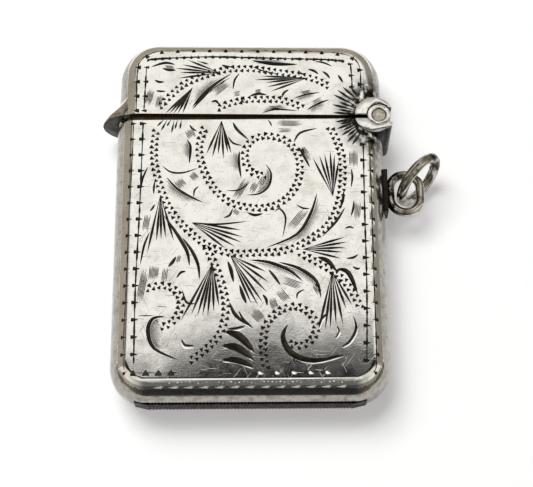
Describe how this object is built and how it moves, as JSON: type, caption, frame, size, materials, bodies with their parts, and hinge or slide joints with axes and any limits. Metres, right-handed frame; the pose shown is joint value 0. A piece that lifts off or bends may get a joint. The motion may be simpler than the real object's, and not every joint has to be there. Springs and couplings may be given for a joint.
{
  "type": "vesta case",
  "caption": "Flat pocket match case with rounded edges, a sprung lid hinged at one side, a flared thumb-piece, a serrated striker in the base and a jump ring on a side loop.",
  "frame": {"origin": "middle of the flat back face, on which the case lies", "axes": "+X to the hinge side, +Y to the lid, +Z out of the front face"},
  "size_m": [0.0419, 0.0468, 0.0083],
  "materials": {
    "body_front_shell": "polished sterling silver sheet, bright-cut engraved",
    "body_back_shell": "polished sterling silver sheet, bright-cut engraved",
    "lid_front_shell": "polished sterling silver sheet, bright-cut engraved",
    "lid_back_shell": "polished sterling silver sheet, bright-cut engraved",
    "body_hinge_bearer": "polished sterling silver",
    "lid_hinge_bearer": "polished sterling silver",
    "front_knuckle": "polished sterling silver",
    "back_knuckle": "polished sterling silver",
    "thumb_piece": "polished sterling silver",
    "suspension_loop": "polished sterling silver",
    "jump_ring": "polished sterling silver",
    "lid_knuckle": "sterling silver, tarnished in the recesses",
    "hinge_pin": "sterling silver, tarnished in the recesses",
    "loop_pad": "sterling silver, tarnished in the recesses",
    "striker_plate": "serrated sterling silver, darkened by use",
    "mouth_bezel": "sterling silver with a thin gilt wash",
    "hinge_spring": "blued spring steel",
    "spring_rivets": "sterling silver"
  },
  "bodies": {
    "case_body": {"body_front_shell": "body_front_shell", "body_back_shell": "body_back_shell", "mouth_bezel": "mouth_bezel", "striker_plate": "striker_plate", "body_hinge_bearer": "body_hinge_bearer", "front_knuckle": "front_knuckle", "back_knuckle": "back_knuckle", "hinge_pin": "hinge_pin", "hinge_spring": "hinge_spring", "spring_rivets": "spring_rivets", "suspension_loop": "suspension_loop", "loop_pad": "loop_pad"},
    "lid": {"lid_front_shell": "lid_front_shell", "lid_back_shell": "lid_back_shell", "lid_hinge_bearer": "lid_hinge_bearer", "lid_knuckle": "lid_knuckle", "thumb_piece": "thumb_piece"},
    "ring": {"jump_ring": "jump_ring"}
  },
  "joints": [
    {"name": "lid_hinge", "type": "hinge", "parent": "case_body", "child": "lid", "pos_m": [0.0159, 0.01235, 0.0041], "axis": [0, 0, -1], "range_deg": [-0.9, 65.1], "deforming": ["hinge_spring"]},
    {"name": "jump_ring_swing", "type": "hinge", "parent": "case_body", "child": "ring", "pos_m": [0.02082, 0.00539, 0.0041], "axis": [0.682, 0.7314, 0], "range_deg": [-24, 44]}
  ]
}
